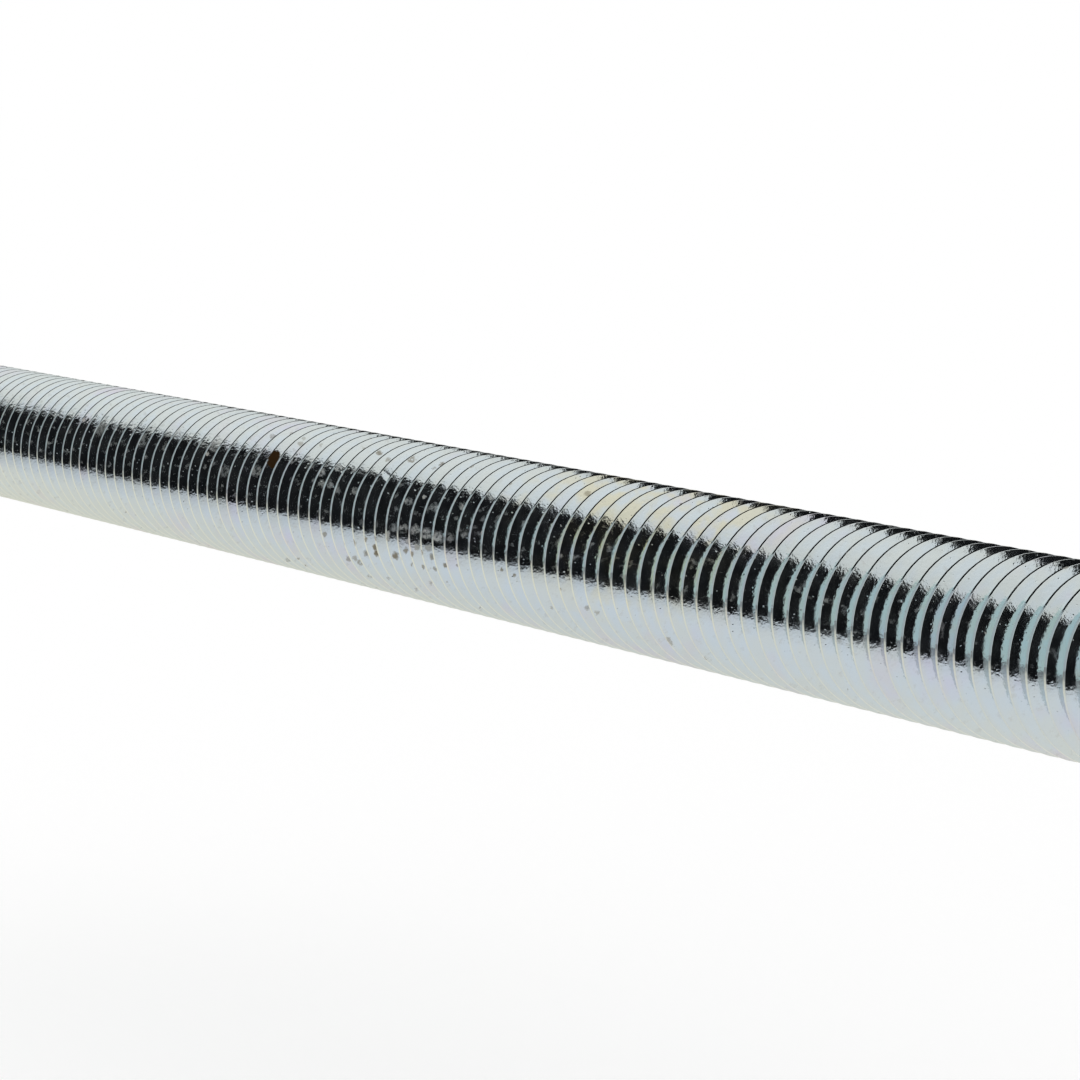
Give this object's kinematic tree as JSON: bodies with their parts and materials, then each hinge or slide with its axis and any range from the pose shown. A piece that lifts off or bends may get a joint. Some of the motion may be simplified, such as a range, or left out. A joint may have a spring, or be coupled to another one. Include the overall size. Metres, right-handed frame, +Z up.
{
  "type": "threaded rod",
  "caption": "Straight steel rod with a coarse right-hand thread from end to end, for clamping, hanging and joining parts with nuts.",
  "frame": {"origin": "centre of the rod, halfway along its axis", "axes": "+X along the rod's axis, +Z up"},
  "size_m": [0.15, 0.01, 0.01],
  "materials": {
    "zinc_plated_steel": "bright zinc plate with a clear chromate, faint cream tints and small brown rust specks"
  },
  "bodies": {
    "root": {"threaded_rod": "zinc_plated_steel"}
  },
  "joints": []
}
